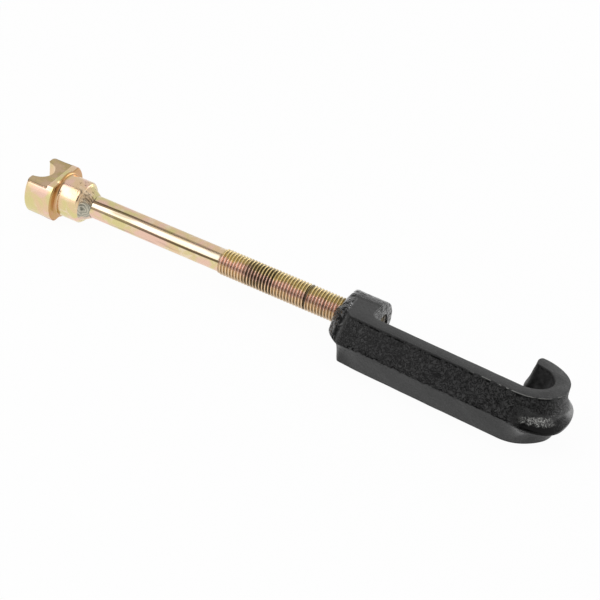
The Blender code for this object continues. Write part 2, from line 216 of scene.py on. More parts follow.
def hook_wall(ridge, face, roundness, above, below, flange):
    """Rows from the lower face edge to the upper: ridge + (face - ridge) share(height), roughened."""
    step = np.linspace(-1.0, 1.0, 81)[:, None]
    height = np.sin(QUARTER * step * (0.45 + 0.55 * step * step))
    up = np.abs(height)
    flat = ridge + (face - ridge) * wall_share(ridge, height, roundness, above, below)[..., None]
    level = np.broadcast_to(height[..., None] * HALF_THICK, flat.shape[:2] + (1,))
    rows = np.concatenate([flat, level], axis=2)
    way = np.roll(ridge, -1, axis=0) - np.roll(ridge, 1, axis=0)
    outward = np.stack([way[:, 1], -way[:, 0]], axis=1) / np.linalg.norm(way, axis=1)[:, None]
    swell = grain(rows, 9.0, 3) * 0.18 - 0.20
    crumbs = grain(rows, 2.6, 4) * 0.20 + grain(rows, 1.5, 5) * 0.09 - 0.10
    drips = grain(rows * (1.0, 1.0, 0.6), 3.4, 6) * 0.40 - 0.15
    coarse = np.where(height > 0.0, eased(height, 0.0, 0.04), 0.15)
    coarse = coarse * (0.35 + 0.65 * eased(1.0 - up, 0.0, 0.04))
    on_boss = 1.0 - eased(rows[..., 0], 7.0, 13.0)
    spread = np.where(height < 0.0, LOWER_FLANGE * up * flange, 0.0)
    crumbs = crumbs * coarse * (1.0 - on_boss) * (1.0 - 0.8 * above)
    rows[..., :2] += (swell + spread + crumbs + drips * on_boss)[..., None] * outward
    return rows


def turned(profile, steps):
    """Rows of points for (x, radius) carried round the screw's axis."""
    a = np.linspace(0.0, 2.0 * math.pi, steps, endpoint=False)
    along, r = np.asarray(profile, float).T[..., None]
    return np.stack([along + 0.0 * a, r * np.cos(a), r * np.sin(a)], axis=2)


def new_piece(name, points, faces):
    """A mesh object at the origin, from points in mm that are counted from the entry."""
    mesh = bpy.data.meshes.new(name)
    mesh.from_pydata((np.asarray(points).reshape(-1, 3) * MM + entry).tolist(), [], faces)
    mesh.validate()
    piece = bpy.data.objects.new(name, mesh)
    bpy.context.collection.objects.link(piece)
    return piece


def ring_faces(rows, columns):
    """Quads of a grid whose rows are closed rings."""
    index = np.arange(rows * columns).reshape(rows, columns)
    after = np.roll(index, -1, axis=1)
    return np.stack([index[:-1], after[:-1], after[1:], index[1:]], axis=-1).reshape(-1, 4).tolist()


def capped_faces(rows, columns):
    """The quads of a stack of rings, and one face for each end of it."""
    count = rows * columns
    return ring_faces(rows, columns) + [list(range(columns))[::-1], list(range(count - columns, count))]


def shaded(piece, angle):
    """Smooth shading that breaks at edges sharper than an angle."""
    piece.data.shade_smooth()
    piece.data.set_sharp_from_angle(angle=math.radians(angle))


def settled(piece):
    """Turns the piece's modifiers into plain mesh."""
    graph = bpy.context.evaluated_depsgraph_get()
    mesh = bpy.data.meshes.new_from_object(piece.evaluated_get(graph))
    piece.modifiers.clear()
    piece.data = mesh


ridge_line = outline(
    left=0.0,
    heel_left=0.0,
    heel=along_arm(CURL_RADIUS + ARM_OVERHANG, 11.8),
    belly=2.0,
    reach=lip_reach,
    inside=RIDGE_INSIDE,
    tip=(0.0, 4.6, 0.0),
    right=BOSS_LENGTH,
    back=BOSS_BACK,
    corner=2.5,
)
face_line = outline(
    left=7.0,
    heel_left=9.7,
    heel=along_arm(CURL_RADIUS, 13.3),
    belly=0.7,
    reach=face_reach,
    inside=FACE_INSIDE,
    tip=(0.8, 2.4, 0.1),
    right=BOSS_LENGTH - FLAT_MARGIN,
    back=FLAT_BACK,
    corner=1.0,
)
wall = hook_wall(*[softened(values) for values in (ridge_line, face_line, *wall_form())])
hook = new_piece("hook_forging", wall, capped_faces(*wall.shape[:2]))
edge_ends = np.zeros(len(hook.data.edges) * 2, int)
hook.data.edges.foreach_get("vertices", edge_ends)
row_ends = edge_ends.reshape(-1, 2) // wall.shape[1]
rim = (row_ends[:, 0] == row_ends[:, 1]) & np.isin(row_ends[:, 0], (0, wall.shape[0] - 1))
hook.data.attributes.new("bevel_weight_edge", "FLOAT", "EDGE").data.foreach_set("value", rim.astype(float))
worn_edge = hook.modifiers.new("worn_edge", "BEVEL")
worn_edge.limit_method = "WEIGHT"
worn_edge.width = WORN_EDGE * MM
worn_edge.segments = 3
settled(hook)

drill = turned([(-6.0, BORE_RADIUS), (BOSS_LENGTH + 7.2, BORE_RADIUS)], 96)
boss_drill = new_piece("boss_drill", drill, capped_faces(*drill.shape[:2]))
bore_cut = hook.modifiers.new("bore_cut", "BOOLEAN")
bore_cut.operation = "DIFFERENCE"
bore_cut.solver = "EXACT"
bore_cut.object = boss_drill
settled(hook)
bpy.data.objects.remove(boss_drill)
shaded(hook, 38.0)
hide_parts("hook")
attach(hook, "hook")


class Wire:
    """A shader socket. Its operators add Math nodes, and node() adds any other node."""

    def __init__(self, socket):
        self.socket = socket

    def node(self, kind, settings=None, out=0, **inputs):
        """One output of a new node: its settings by name, and its sockets by name or as i0, i1 and so on."""
        tree = self.socket.id_data
        made = tree.nodes.new("ShaderNode" + kind)
        for name, value in (settings or {}).items():
            setattr(made, name, value)
        for name, value in inputs.items():
            indexed = name[0] == "i" and name[1:].isdigit()
            socket = made.inputs[int(name[1:])] if indexed else made.inputs[name.replace("_", " ")]
            if isinstance(value, Wire):
                tree.links.new(value.socket, socket)
            else:
                socket.default_value = value
        return Wire(made.outputs[out])

    def maths(self, operation, first, second):
        """A Math node of two values."""
        return self.node("Math", {"operation": operation}, i0=first, i1=second)

    def vector_maths(self, operation, other=(0.0, 0.0, 0.0), out=0):
        """A Vector Math node of this vector and another."""
        return self.node("VectorMath", {"operation": operation}, out=out, i0=self, i1=other)

    def __add__(self, other):
        return self.maths("ADD", self, other)

    def __radd__(self, other):
        return self.maths("ADD", other, self)

    def __sub__(self, other):
        return self.maths("SUBTRACT", self, other)

    def __rsub__(self, other):
        return self.maths("SUBTRACT", other, self)

    def __mul__(self, other):
        return self.maths("MULTIPLY", self, other)

    def __rmul__(self, other):
        return self.maths("MULTIPLY", other, self)

    def __abs__(self):
        return self.maths("ABSOLUTE", self, 0.0)

    def most(self, other):
        """The larger of two values."""
        return self.maths("MAXIMUM", self, other)

    def between(self, low, high):
        """0 below low and 1 above high, eased between."""
        smooth = {"interpolation_type": "SMOOTHSTEP"}
        return self.node("MapRange", smooth, Value=self, From_Min=low, From_Max=high)

    def within(self, low, high, soft):
        """1 from low to high and 0 outside, eased over a soft margin."""
        return self.between(low - soft, low) * (1.0 - self.between(high, high + soft))

    def noise(self, size, detail=2.0, rough=0.5, twist=0.0):
        """Cloudy values about 0.5, with features of a size in mm."""
        form = {"Scale": 1.0 / (size * MM), "Detail": detail, "Roughness": rough, "Distortion": twist}
        return self.node("TexNoise", Vector=self, **form)

    def drawn(self, share):
        """These coordinates shrunk to a share along x, so that noise on them is drawn out that way."""
        return self.node("Mapping", Vector=self, Scale=(share, 1.0, 1.0))

    def tint(self, first, second):
        """A colour that goes from first to second as this value goes from 0 to 1."""
        return self.node("Mix", {"data_type": "RGBA"}, out=2, i0=self, i6=first, i7=second)

    def bump(self, strength, depth):
        """The normal of a surface that this value raises, by a depth in mm."""
        return self.node("Bump", Strength=strength, Distance=depth * MM, Height=self)

    def parts(self):
        """The x, y and z of a vector."""
        split = self.node("SeparateXYZ", Vector=self).socket.node
        return [Wire(socket) for socket in split.outputs]

    def distance(self, place):
        """How far this vector lies from a place."""
        return self.vector_maths("DISTANCE", place, 1)

    def facing(self, way):
        """The share of this vector that points along a way."""
        return self.vector_maths("DOT_PRODUCT", way, 1)


def finish_of(piece, name, **settings):
    """A material for a piece, with settings that are the same all over it; its shader and coordinates."""
    made = bpy.data.materials.new(name)
    made.use_nodes = True
    shader = made.node_tree.nodes["Principled BSDF"]
    for key, value in settings.items():
        shader.inputs[key.replace("_", " ")].default_value = value
    piece.data.materials.clear()
    piece.data.materials.append(made)
    place = made.node_tree.nodes.new("ShaderNodeTexCoord")
    return shader, Wire(place.outputs["Object"])


def from_entry(at):
    """The x, y and z of a place in mm, counted from the entry."""
    return [(part - start) * (1.0 / MM) for part, start in zip(at.parts(), entry)]


def link(shader, **wires):
    """Feeds what varies over the surface into the shader."""
    for key, wire in wires.items():
        shader.id_data.links.new(wire.socket, shader.inputs[key.replace("_", " ")])


ENAMEL_DEEP = (0.0075, 0.0075, 0.0076, 1.0)
ENAMEL_THIN = (0.0120, 0.0120, 0.0116, 1.0)
# Black for painted shade
SHADE_BLACK = (0.0015, 0.0015, 0.0015, 1.0)
# Light grey for flecks of worn paint, which also stand in as painted glints
WORN_GLINT_GREY = (0.50, 0.50, 0.48, 1.0)

shader, at = finish_of(hook, "black_enamel", IOR=1.5)
x, y, z = from_entry(at)
from_curl = x.node("CombineXYZ", X=x, Y=y).distance((*CURL_CENTRE, 0.0))
wander = at.noise(3.0) - 0.5
lift = z + wander * 5.0

# Where on the hook a place is
past_boss = x.between(30.0, 34.0)
below_rim = 1.0 - z.between(14.2, 14.6)
arm = x.between(10.5, 12.5) * (1.0 - y.between(-15.0, -11.0) * (1.0 - past_boss))
inside = 1.0 - from_curl.between(14.4, 15.2)
under = 1.0 - lift.between(-0.6, 0.0)
on_top = abs(z).between(14.0, 14.4) * (x + y * 0.14).between(5.6, 8.0)
left_end = (1.0 - x.between(8.5, 12.0)) * (1.0 - on_top)
right_end = x.between(19.5, 24.0) * (1.0 - arm) * (1.0 - on_top)
boss_back = y.between(-4.8, -1.6) * (1.0 - past_boss)
top_rim = (1.0 - x.between(5.5, 9.0)) * z.between(3.0, 8.0) * y.between(-12.0, -7.5)
flare = from_curl.between(24.8, 26.2) * x.between(CURL_CENTRE[0], CURL_CENTRE[0] + 10.0)
cove = flare * z.within(-0.8, 3.0, 1.0)
shelf = (from_curl + wander * 6.0).within(26.2, 29.8, 1.6) * x.within(127.0, 133.0, 8.0)
shelf = shelf * z.within(0.6, 4.5, 0.9) * (1.0 - y.between(-29.0, -24.0))
coarse = lift.between(0.0, 0.4) * below_rim * arm * (1.0 - inside)

# The grain of the forging, and the paint that runs over it
peel = at.noise(1.9, 2.5, 0.6, 0.9)
worms = 1.0 - abs(peel - 0.5).between(0.010, 0.070)
broken = at.noise(3.4, 2.5, 0.6)
lumps = at.noise(3.0, 1.5, 0.5, 0.8)
pits = at.noise(0.8)
sag = at.noise(13.0)
strokes = at.drawn(0.06).noise(0.9)

# Painted shade in black: in the crevices of the grain, along the parting line and under the rim,
# in blotches on the boss's ends, inside the curl and in the cove, and a little darker on the curl's top
# flat.
# Flecks of worn paint in light grey on the shelf and along the top edge, which also stand in as painted
# glints
parting_shadow = lift.within(0.1, 0.5, 0.3) * broken.between(0.36, 0.52)
under_rim_shadow = z.within(13.3, 13.8, 0.3) * broken.between(0.47, 0.56)
ragged_shade = (parting_shadow * 0.85).most(under_rim_shadow * 0.9) * arm
# Painted shade in blotches on the boss's ends, and black along the top of the left end
blotch_shade = ((1.0 - lumps.between(0.465, 0.565)) * (1.0 - top_rim)).most(top_rim * 0.80) * left_end
blotch_shade = blotch_shade.most((1.0 - lumps.between(0.36, 0.42)) * right_end)
# Painted shade in the crevices of the grain, inside the curl, on the curl's top and in the cove
worm_shade = worms * coarse * (1.0 - flare) * (0.50 + 0.32 * x.between(20.0, 130.0))
painted_shade = worm_shade.most(ragged_shade).most(inside * below_rim * 0.65)
painted_shade = painted_shade.most(on_top * x.between(100.0, 130.0) * 0.14)
painted_shade = painted_shade.most(blotch_shade * 0.85).most(cove * (1.0 - shelf) * 0.75)
# Worn flecks on the shelf and along the top edge, painted light so that they show as glints
worn_glint_flecks = at.noise(0.8, 4.0, 0.75, 0.5).between(0.44, 0.64) * shelf * at.noise(3.2).between(0.28, 0.44)
top_edge = z.within(14.37, 14.72, 0.08) * x.between(84.0, 96.0) * (1.0 - inside)
worn_glint_flecks = worn_glint_flecks.most(top_edge * broken.between(0.44, 0.52) * 0.45)

forged = (peel * 1.5 - worms * 0.45 + pits * 0.4) * (0.10 + 0.90 * coarse + 0.14 * under)
smooth = flare.most(left_end)
lumpy = lumps * (left_end * (3.2 - 2.6 * top_rim) + right_end * 1.2 + boss_back * 0.8)
relief = forged * (1.0 - 0.96 * smooth) + sag * 0.4 + lumpy + strokes * on_top * 0.08
gloss = 0.26 * left_end + 0.20 * boss_back + 0.12 * right_end + 0.22 * flare
paint = sag.between(0.3, 0.7).tint(ENAMEL_DEEP, ENAMEL_THIN)
link(
    shader,
    # Painted shade: a black base colour that is also made metal, so that it loses its reflection
    Base_Color=worn_glint_flecks.tint(painted_shade.tint(paint, SHADE_BLACK), WORN_GLINT_GREY),
    Metallic=(painted_shade * (1.0 - worn_glint_flecks)).most(worn_glint_flecks * 0.6),
    Roughness=0.34 + 0.10 * strokes + 0.05 * coarse - gloss,
    Normal=relief.bump(0.8, 1.0),
)

# Screw rod
# Bar steel, drawn smooth for the shank and rolled to a coarse right-hand thread that runs through the boss.
# It is plated in yellow zinc that stains unevenly, and old grease is caught in some of the grooves.

PITCH = 2.0
SHANK_RADIUS = 7.0
CREST_RADIUS = 7.88
CREST_HALF = 0.07  # a share of the pitch from the middle of a crest, like the two below
FLANK_END = 0.39
ROOT_START = 0.40
THREAD_DEPTH = 1.2
THREAD_START = -78.3
RUN_IN = 2.0
ROD_END = BOSS_LENGTH - 2.0
ROD_CHAMFER = 1.5
COLLAR_END = -173.0
ROD_SEAT = COLLAR_END - 10.7
PITCH_ROWS = 14
ROUND_STEPS = 72


def thread_fall(phase):
    """The share of its depth that the thread drops at a phase: the mean of a straight and an eased flank."""
    away = np.abs(phase - np.round(phase))
    flank = np.clip((away - CREST_HALF) / (FLANK_END - CREST_HALF), 0.0, 1.0)
    return 0.5 * eased(away, CREST_HALF, ROOT_START) + 0.5 * flank


def climbing_rows(start, end):
    """Places, angles and fall of rows that climb: row k has x = start + k pitch / n + pitch a / 2 pi."""
    a = np.linspace(0.0, 2.0 * math.pi, ROUND_STEPS, endpoint=False)
    count = int(math.ceil((end - start) / PITCH) + 1) * PITCH_ROWS + 1
    climb = PITCH * a / (2.0 * math.pi)
    along = start - PITCH + np.arange(count)[:, None] * PITCH / PITCH_ROWS + climb
    return along, a, thread_fall(along / PITCH - a / (2.0 * math.pi))


def climbing_faces(rows, columns, before, after):
    """Quads of a grid whose middle rows climb: there the last column joins the first, one pitch on."""
    index = np.arange(rows * columns).reshape(rows, columns)
    k = np.arange(rows)
    middle = (k >= before) & (k < rows - after)
    ahead = np.where(middle, np.minimum(k + PITCH_ROWS, rows - after - 1), k)
    joined = np.concatenate([index, index[ahead, :1]], axis=1)
    corners = [joined[:-1, :-1], joined[:-1, 1:], joined[1:, 1:], joined[1:, :-1]]
    return np.stack(corners, axis=-1).reshape(-1, 4)


def rod_thread():
    """The thread: crest less fall, grown out of the shank, and cut by a cone and a flat at the end."""
    start = THREAD_START - RUN_IN
    along, a, fall = climbing_rows(start, ROD_END)
    radius = CREST_RADIUS - THREAD_DEPTH * fall
    radius = SHANK_RADIUS + (radius - SHANK_RADIUS) * eased(along, start, start + 3.2)
    radius = np.minimum(radius, CREST_RADIUS - ROD_CHAMFER + np.maximum(0.0, ROD_END - along))
    along = np.clip(along, start, ROD_END)
    return np.stack([along, radius * np.cos(a), radius * np.sin(a)], axis=2)


def merged(piece, angle):
    """Joins points that coincide, and shades the piece."""
    weld = piece.modifiers.new("weld", "WELD")
    weld.merge_threshold = 0.002 * MM
    settled(piece)
    shaded(piece, angle)


shank_places = np.linspace(ROD_SEAT + 2.7, THREAD_START - RUN_IN - 1.0, 48)
shank_rows = turned(
    [
        (ROD_SEAT, 0.0),
        (ROD_SEAT, SHANK_RADIUS - ROD_CHAMFER),
        (ROD_SEAT + ROD_CHAMFER, SHANK_RADIUS),
        *((place, SHANK_RADIUS) for place in shank_places),
    ],
    ROUND_STEPS,
)
end_rows = turned([(ROD_END, CREST_RADIUS - 2.2), (ROD_END - 0.5, 1.2), (ROD_END - 1.2, 0.0)], ROUND_STEPS)
rod_rows = np.concatenate([shank_rows, rod_thread(), end_rows])
rod_faces = climbing_faces(*rod_rows.shape[:2], len(shank_rows), len(end_rows))
screw = new_piece("screw_bar", rod_rows, rod_faces.tolist())
merged(screw, 60.0)
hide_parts("screw_rod")
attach(screw, "spindle")

ZINC_TAN = (0.80, 0.58, 0.36, 1.0)
ZINC_GREEN = (0.72, 0.63, 0.30, 1.0)
ZINC_ROSE = (0.84, 0.57, 0.45, 1.0)
ZINC_PALE = (0.86, 0.70, 0.51, 1.0)
# Dark brown for smut, for painted dark reflections and for painted shade at the thread's edges
SMUT_AND_REFLECTION_BROWN = (0.11, 0.07, 0.035, 1.0)
# Pale for a painted highlight on the shank
HIGHLIGHT_PALE = (0.74, 0.64, 0.50, 1.0)
THREAD_GOLD = (0.92, 0.73, 0.36, 1.0)
THREAD_ROSE = (0.95, 0.63, 0.50, 1.0)
THREAD_TAN = (0.92, 0.68, 0.43, 1.0)
# Near black for grease, and for painted shade in the thread's grooves
GREASE_AND_SHADE = (0.055, 0.048, 0.034, 1.0)
LOW_SIDE = (0.0, -0.286, -0.958)


def zinc_colour(at):
    """Passivated zinc: tan that drifts to yellow-green, pale and rose in soft stains."""
    base = at.noise(15.0, 2.0, 0.5, 0.4).between(0.45, 0.60).tint(ZINC_TAN, ZINC_GREEN)
    base = at.noise(8.0, 3.0, 0.6, 0.6).between(0.52, 0.70).tint(base, ZINC_PALE)
    return at.noise(12.0, 2.0, 0.5, 0.5).between(0.48, 0.64).tint(base, ZINC_ROSE)


def round_axis(y, z):
    """How far a place is from the screw's axis, and the direction from the axis to it."""
    off = y.node("CombineXYZ", X=0.0, Y=y, Z=z)
    return off.vector_maths("LENGTH", out=1), off.vector_maths("NORMALIZE")


shader, at = finish_of(screw, "yellow_zinc_rod", Metallic=1.0)
x, y, z = from_entry(at)
from_axis, spoke = round_axis(y, z)
low = spoke.facing(LOW_SIDE)
threaded = x.between(THREAD_START - 1.0, THREAD_START + 0.6)

# Painted shade in every groove of the thread, with grease over it in a band and in two rings, and dirt on
# the rod's end
groove = (1.0 - from_axis.between(6.9, 7.8)) * threaded
greased = x.within(-60.8, -44.2, 2.4)
ring_marks = x.within(-22.2, -21.1, 0.4).most(x.within(-10.5, -9.9, 0.4) * 0.4)
soot = at.noise(5.5, 3.0, 0.6).between(0.42, 0.66)
end_dirt = x.between(20.0, 22.2)
# Every groove darkened by painted shade, and more where grease lies in a band and in rings
groove_shade_and_grease = groove * (0.40 + 0.12 * x.between(-64.0, -44.0) + 0.42 * greased.most(ring_marks))
grime_and_groove_shade = groove_shade_and_grease.most(greased * soot * 0.4).most(ring_marks * 0.8).most(end_dirt * 0.9)

# Smut along the rod, painted dark reflections in two streaks along it, painted shade at the thread's top and
# bottom and a painted highlight in a pale band; and the thread's tones, from gold on its upper side through
# rose to tan on its lower
scored = at.drawn(0.03).noise(1.1, 3.0, 0.6)
smut = at.drawn(0.08).noise(4.2, 2.5, 0.55)
ragged_low = low + (smut - 0.5) * 0.30
turn = low + (at.noise(8.0) - 0.5) * 0.9
rolled = turn.between(-0.68, -0.36).tint(THREAD_GOLD, THREAD_ROSE)
rolled = turn.between(0.00, 0.30).tint(rolled, THREAD_TAN)
# A pale band where the front box's reflection falls: a painted highlight
highlight_band = (low + (smut - 0.5) * 0.20).within(-0.46, -0.12, 0.10) * 0.80
bronze = threaded.tint(highlight_band.tint(zinc_colour(at), HIGHLIGHT_PALE), rolled)
# Two dark streaks along the rod: painted reflections of the dark room
low_dark_reflection = ragged_low.within(-0.05, 0.10, 0.07) * (0.75 + 0.25 * x.between(-165.0, -100.0))
high_dark_reflection = ragged_low.within(-0.67, -0.46, 0.06) * (1.0 - 0.60 * x.between(-165.0, -90.0))
shank_smut_and_reflections = (high_dark_reflection.most(low_dark_reflection) * 0.95).most(smut.between(0.58, 0.70) * 0.5) * (1.0 - threaded)
# Darker at the thread's top and bottom: painted shade
thread_edge_shade = low.between(0.45, 0.80).most(1.0 - low.between(-0.97, -0.84))
smut_reflections_and_shade = shank_smut_and_reflections.most(low_dark_reflection * threaded * 0.30).most(thread_edge_shade * threaded * 0.35)
link(
    shader,
    Base_Color=grime_and_groove_shade.tint(smut_reflections_and_shade.tint(bronze, SMUT_AND_REFLECTION_BROWN), GREASE_AND_SHADE),
    Roughness=0.16 + 0.12 * scored + 0.04 * threaded + 0.30 * grime_and_groove_shade,
    Normal=scored.bump(0.10, 0.2),
)

# Tapped bore
# The boss is drilled through and tapped for the screw. The thread is cut after forging, and left bare and
# oily inside the painted hook. Here it is a thin sleeve that fills the drilled hole.

BORE_FIT = 0.14
BORE_LEAD = 1.6
BORE_NEAR = 2.0
BORE_FAR = BOSS_LENGTH - BORE_LEAD
SLEEVE_RADIUS = BORE_RADIUS - 0.02
ROOT_LIMIT = BORE_RADIUS - 0.05


def tapped_rows():
    """The screw's own thread form, a fit larger, widened to a cone at each end and closed outside."""
    along, a, fall = climbing_rows(BORE_NEAR, BORE_FAR)
    radius = np.minimum(CREST_RADIUS - THREAD_DEPTH * fall + BORE_FIT, ROOT_LIMIT)
    past = np.maximum(BORE_NEAR + BORE_LEAD - along, along - BORE_FAR + BORE_LEAD)
    radius = np.maximum(radius, ROOT_LIMIT - 0.9 * np.maximum(0.0, BORE_LEAD - np.maximum(0.0, past)))
    along = np.clip(along, BORE_NEAR, BORE_FAR)
    rows = np.stack([along, radius * np.cos(a), radius * np.sin(a)], axis=2)
    near, far = turned([(BORE_NEAR, SLEEVE_RADIUS), (BORE_FAR, SLEEVE_RADIUS)], ROUND_STEPS)
    return np.stack([near, *rows, far, near])


BARE_STEEL = (0.22, 0.20, 0.18, 1.0)
OILED_STEEL = (0.06, 0.05, 0.04, 1.0)

tapped = tapped_rows()
tapped_bore = new_piece("tapped_bore", tapped, climbing_faces(*tapped.shape[:2], 1, 2)[:, ::-1].tolist())
merged(tapped_bore, 60.0)
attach(tapped_bore, "hook")
shader, at = finish_of(tapped_bore, "tapped_steel", Metallic=1.0)
oily = at.noise(3.0, 3.0, 0.6)
link(
    shader,
    Base_Color=oily.between(0.4, 0.65).tint(BARE_STEEL, OILED_STEEL),
    Roughness=0.32 + 0.2 * oily,
)

# Saddle head
# A turned steel head and collar, with two flats milled for a wrench, a higher rim behind them, and a notch
# cut across the end to straddle the joint's stud. It is welded to the rod and plated with it.

HEAD_RADIUS = 18.0
SADDLE_END = -206.9
SHOULDER = -187.9
SHOULDER_CORNER = 1.0
PRONG_CORNER = 1.8
FLAT_END = -192.9
HALF_FLATS = 11.1
HALF_RIM = 12.3
HEAD_EDGE = 0.5
BODY_ROWS = 41
NOTCH_RADIUS = 9.0
NOTCH_LIP = 1.0
COLLAR_RADIUS = 12.9
COLLAR_ROOT = 1.5
HEAD_TURN = math.radians(11.0)


def head_outline(half_width):
    """One side of the head's plan at a half width: shoulder, corner, side, prong end, half the notch."""
    w = np.asarray(half_width)[:, None]
    bent = np.linspace(0.0, QUARTER, 8)[None, :]
    across = np.linspace(0.0, 1.0, 10)[None, :]
    sweep = np.linspace(math.asin(NOTCH_LIP / NOTCH_RADIUS), QUARTER, 26)[None, :]
    side_from = SHOULDER - SHOULDER_CORNER
    side_to = SADDLE_END + PRONG_CORNER
    prong = w - PRONG_CORNER
    lip = NOTCH_RADIUS + NOTCH_LIP
    runs = [
        (SHOULDER + 0.0 * across, (w - SHOULDER_CORNER) * across),
        (side_from + SHOULDER_CORNER * np.cos(bent), w - SHOULDER_CORNER + SHOULDER_CORNER * np.sin(bent)),
        (side_from + (side_to - side_from) * across, w + 0.0 * across),
        (side_to - PRONG_CORNER * np.sin(bent), prong + PRONG_CORNER * np.cos(bent)),
        (SADDLE_END + 0.0 * across, prong + (lip - prong) * across),
        (SADDLE_END + NOTCH_LIP - NOTCH_LIP * np.cos(bent), lip - NOTCH_LIP * np.sin(bent)),
        (SADDLE_END + NOTCH_RADIUS * np.sin(sweep), NOTCH_RADIUS * np.cos(sweep)),
    ]
    runs = [np.stack(np.broadcast_arrays(along + 0.0 * w, out + 0.0 * w), axis=-1) for along, out in runs]
    return np.concatenate([runs[0], *(run[:, 1:] for run in runs[1:])], axis=1)


def head_rows():
    """Levels of the plan outline from the lower rim to the upper; the rims stop where the flats begin."""
    bent = np.linspace(0.0, QUARTER, 5)[1:]
    edge = HEAD_EDGE * (1.0 - np.cos(bent))
    rise = HEAD_EDGE * np.sin(bent)
    body = np.linspace(HEAD_EDGE - HALF_FLATS, HALF_FLATS - HEAD_EDGE, BODY_ROWS)
    step = np.linspace(HALF_FLATS, HALF_RIM - HEAD_EDGE, 5)
    flat_levels = [*(HALF_FLATS - HEAD_EDGE + rise)]
    rim_levels = [*step, *(HALF_RIM - HEAD_EDGE + rise), HALF_RIM]
    top = np.array(flat_levels + rim_levels)
    inset = np.array([*edge, *(0.0 * step), *edge, HEAD_RADIUS])
    rim = np.repeat([False, True], [len(flat_levels), len(rim_levels)])
    level = np.concatenate([-top[::-1], body, top])
    inset = np.concatenate([inset[::-1], np.zeros(BODY_ROWS), inset])
    rim = np.concatenate([rim[::-1], np.zeros(BODY_ROWS, bool), rim])
    one_side = head_outline(np.sqrt(HEAD_RADIUS**2 - np.minimum(np.abs(level), HALF_RIM) ** 2))
    one_side[..., 0] = np.where(rim[:, None], np.maximum(one_side[..., 0], FLAT_END), one_side[..., 0])
    one_side[..., 1] = np.maximum(0.0, one_side[..., 1] - inset[:, None])
    plan = np.concatenate([one_side, one_side[:, -2:0:-1] * (1.0, -1.0)], axis=1)
    level = np.broadcast_to(level[:, None], plan.shape[:2])
    c, s = math.cos(HEAD_TURN), math.sin(HEAD_TURN)
    return np.stack([plan[..., 0], plan[..., 1] * c - level * s, plan[..., 1] * s + level * c], axis=2)


FLAT_OLIVE = (0.52, 0.40, 0.18, 1.0)
FLAT_TAN = (0.66, 0.47, 0.30, 1.0)
# Orange-brown for a painted reflection of the collar on the shoulder
SHOULDER_REFLECTION_BROWN = (0.52, 0.27, 0.09, 1.0)
# Dark brown for lines along the flats' edges and for scuffs by the weld
EDGE_AND_SCUFF_BROWN = (0.13, 0.09, 0.04, 1.0)

head = head_rows()
saddle = new_piece("saddle_block", head, ring_faces(*head.shape[:2]))
merged(saddle, 30.0)
root = np.linspace(math.pi, 3.0 * QUARTER, 7)
root_radius = COLLAR_RADIUS + COLLAR_ROOT
collar_rows = turned(
    [
        (SHOULDER - 2.0, 0.0),
        (SHOULDER - 2.0, root_radius),
        *zip(SHOULDER + COLLAR_ROOT + COLLAR_ROOT * np.cos(root), root_radius + COLLAR_ROOT * np.sin(root)),
        *((along, COLLAR_RADIUS) for along in np.linspace(SHOULDER + 2.0, COLLAR_END - 1.4, 12)),
        (COLLAR_END - 1.2, COLLAR_RADIUS - 0.05),
        (COLLAR_END - 0.2, COLLAR_RADIUS - 1.0),
        (COLLAR_END, COLLAR_RADIUS - 1.25),
        (COLLAR_END, 0.0),
    ],
    112,
)
collar = new_piece("saddle_collar", collar_rows, ring_faces(*collar_rows.shape[:2]))
merged(collar, 40.0)
for piece in (saddle, collar):
    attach(piece, "spindle")
    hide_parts("saddle_head")
    shader, at = finish_of(piece, "yellow_zinc_" + piece.name, Metallic=1.0)
    x, y, z = from_entry(at)
    from_axis = round_axis(y, z)[0]
    level = abs(z * math.cos(HEAD_TURN) - y * math.sin(HEAD_TURN))
    over_flats = 1.0 - x.between(FLAT_END - 0.2, FLAT_END)
    on_flat = level.between(10.95, 11.05) * over_flats
    # The shoulder tinted orange-brown: a painted reflection of the gold collar
    shoulder_reflection = x.within(SHOULDER - 0.7, SHOULDER + 1.3, 0.5) * from_axis.between(12.8, 13.2)
    flat_edge = level.within(10.40, 11.03, 0.10) * over_flats
    step_edge = x.within(FLAT_END - 0.7, FLAT_END + 0.05, 0.2) * level.between(10.8, 11.0)
    # Dark brown lines in patches along the flats' edges and at the step behind them
    edge_lines = flat_edge.most(step_edge) * at.noise(3.0, 2.0, 0.6).between(0.36, 0.50)
    weld_side = x.within(COLLAR_END - 5.0, COLLAR_END, 1.5) * z.between(3.0, 6.0)
    outlined = edge_lines.most(at.noise(1.6, 3.0, 0.7).between(0.57, 0.63) * weld_side * 0.8)
    milled = at.noise(1.0, 3.0, 0.6)
    flat_tone = at.noise(6.0, 3.0, 0.6).between(0.4, 0.6).tint(FLAT_OLIVE, FLAT_TAN)
    plated = (on_flat * 0.8).tint(zinc_colour(at), flat_tone)
    plated = (shoulder_reflection * 0.8).tint(plated, SHOULDER_REFLECTION_BROWN)
    link(
        shader,
        Base_Color=(outlined * 0.8).tint(plated, EDGE_AND_SCUFF_BROWN),
        Roughness=0.13 + 0.12 * milled + 0.16 * on_flat + 0.10 * shoulder_reflection,
        Normal=milled.bump(0.12, 0.2),
    )

# Weld bead
# A fillet of steel run round the rod where it leaves the collar, to hold rod and head together. It was laid
# in short overlapping ripples that end in a crater, and it is plated over thinly.

BEAD_LENGTH = 7.2
BEAD_START = COLLAR_END - 0.3
BEAD_TOP = COLLAR_RADIUS - 1.2
BEAD_TOE = SHANK_RADIUS - 0.1
CRATER_ANGLE = math.radians(178.0)
CRATER_SHARE = 0.33  # of the bead's length, from the collar
RIPPLE_LENGTH = 1.7


